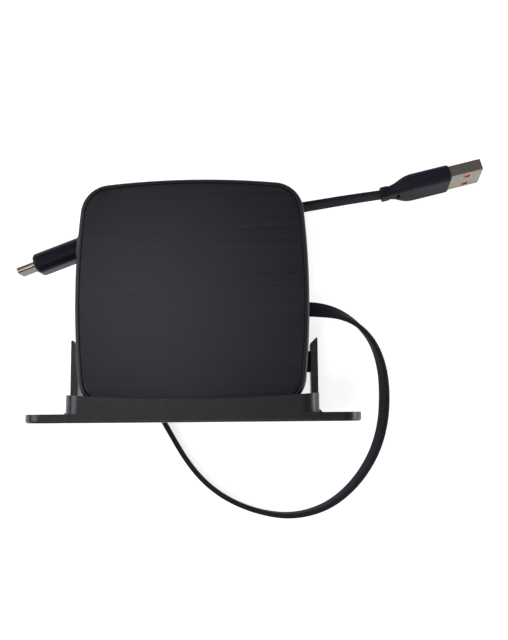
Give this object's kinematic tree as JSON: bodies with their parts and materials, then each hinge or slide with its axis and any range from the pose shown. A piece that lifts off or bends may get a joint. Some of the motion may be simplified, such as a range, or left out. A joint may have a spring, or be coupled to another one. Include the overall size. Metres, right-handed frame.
{
  "type": "retractable charging cable",
  "caption": "Square reel box in a screw-on bracket, with a pull-out ribbon that ends in a USB-C plug and a flat input lead with a USB-A plug.",
  "frame": {"origin": "on the table under the middle of the box and bracket, cords left out", "axes": "+X along the bracket's ears to the lead side, +Y from the bracket to the top of the box, +Z out of the face plate"},
  "size_m": [0.1737, 0.1337, 0.0292],
  "materials": {
    "brushed_plate": "black anodised, fine brush lines across",
    "case_plastic": "fine moulded texture, satin",
    "rim_plastic": "satin grey",
    "bracket_plastic": "fine moulded texture, matte",
    "grip_plastic": "soft satin",
    "neck_rubber": "matte",
    "ribbon": "matte, faint lengthwise lines",
    "plug_metal": "nickel plated",
    "red_plastic": "moulded",
    "contact_metal": "gold flashed",
    "steel": "zinc plated",
    "inner_plastic": "moulded",
    "board": "coated board"
  },
  "bodies": {
    "housing": {"front_plate": "brushed_plate", "front_shell": "case_plastic", "back_shell": "case_plastic", "spring_cover": "case_plastic", "port_rim": "rim_plastic", "case_screws": "steel", "cover_screws": "steel", "reel_axle": "steel", "power_spring": "steel", "pawl_pin": "steel", "pawl_spring": "steel", "contact_board": "board", "slip_rings": "contact_metal", "bracket": "bracket_plastic", "lead_gland": "grip_plastic", "input_lead": "ribbon", "usb_a_neck": "neck_rubber", "usb_a_body": "grip_plastic", "usb_a_shell": "plug_metal", "usb_a_insert": "red_plastic", "usb_a_contacts": "contact_metal"},
    "reel": {"reel": "inner_plastic", "wound_cable": "ribbon", "contact_brushes": "contact_metal"},
    "usb_c_plug": {"usb_c_overmould": "grip_plastic", "usb_c_shell": "plug_metal", "usb_c_insert": "grip_plastic", "ribbon_tail": "ribbon"},
    "pawl": {"ratchet_pawl": "inner_plastic"}
  },
  "joints": [
    {"name": "plug_pull", "type": "slide", "parent": "housing", "child": "usb_c_plug", "axis": [-0.9367, -0.3502, 0], "range_m": [0, 0.95], "stiffness_N_per_m": 1.5, "springref_m": -0.2},
    {"name": "reel_spin", "type": "hinge", "parent": "housing", "child": "reel", "pos_m": [0, 0.00175, 0.0164], "axis": [0, 0, 1], "range_deg": [-1, 2161]},
    {"name": "pawl_swing", "type": "hinge", "parent": "housing", "child": "pawl", "pos_m": [0.019, 0.03795, 0.0204], "axis": [0, 0, 1], "range_deg": [-8, 6], "stiffness_Nm_per_rad": 0.002}
  ],
  "couplings": [
    {"joint": "reel_spin", "follows": "plug_pull", "rad_per_m": 39.683}
  ]
}
